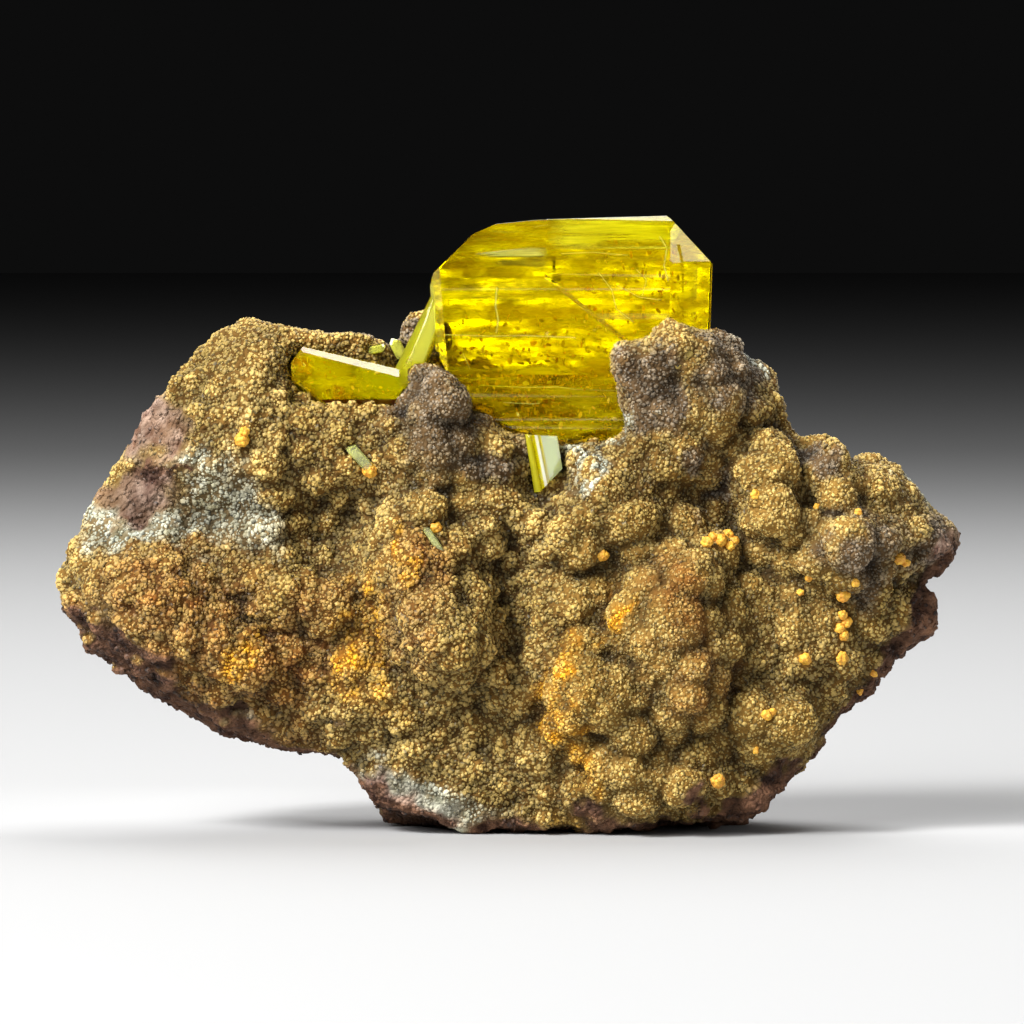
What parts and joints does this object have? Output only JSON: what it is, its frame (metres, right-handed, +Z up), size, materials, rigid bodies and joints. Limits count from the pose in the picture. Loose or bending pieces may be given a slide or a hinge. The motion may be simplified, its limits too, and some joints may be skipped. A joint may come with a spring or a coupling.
{
  "type": "legrandite crystal specimen",
  "caption": "Display mineral specimen: stout clear yellow legrandite crystals set in a rough brown limonite rock with a druse-coated face and a flat underside to stand on.",
  "frame": {"origin": "under the middle of the whole specimen, on the surface it stands on", "axes": "+X to the right along the rock's length, +Y from the druse-coated front to the broken back, +Z up through the crystals"},
  "size_m": [0.0624, 0.0244, 0.0428],
  "materials": {
    "limonite": "rough druse, khaki brown with rust and ochre patches",
    "legrandite": "clear saturated yellow, glassy, finely striated",
    "pale_legrandite": "clear pale yellow-green, glassy",
    "amber_legrandite": "cloudy amber, satin"
  },
  "bodies": {
    "root": {"matrix": "limonite", "crystal_cluster": "legrandite", "lower_prism": "legrandite", "bud_crystal": "legrandite", "bud_crystal_small": "legrandite", "pale_lath": "pale_legrandite", "sliver_crystal": "pale_legrandite", "amber_lath": "amber_legrandite"}
  },
  "joints": []
}
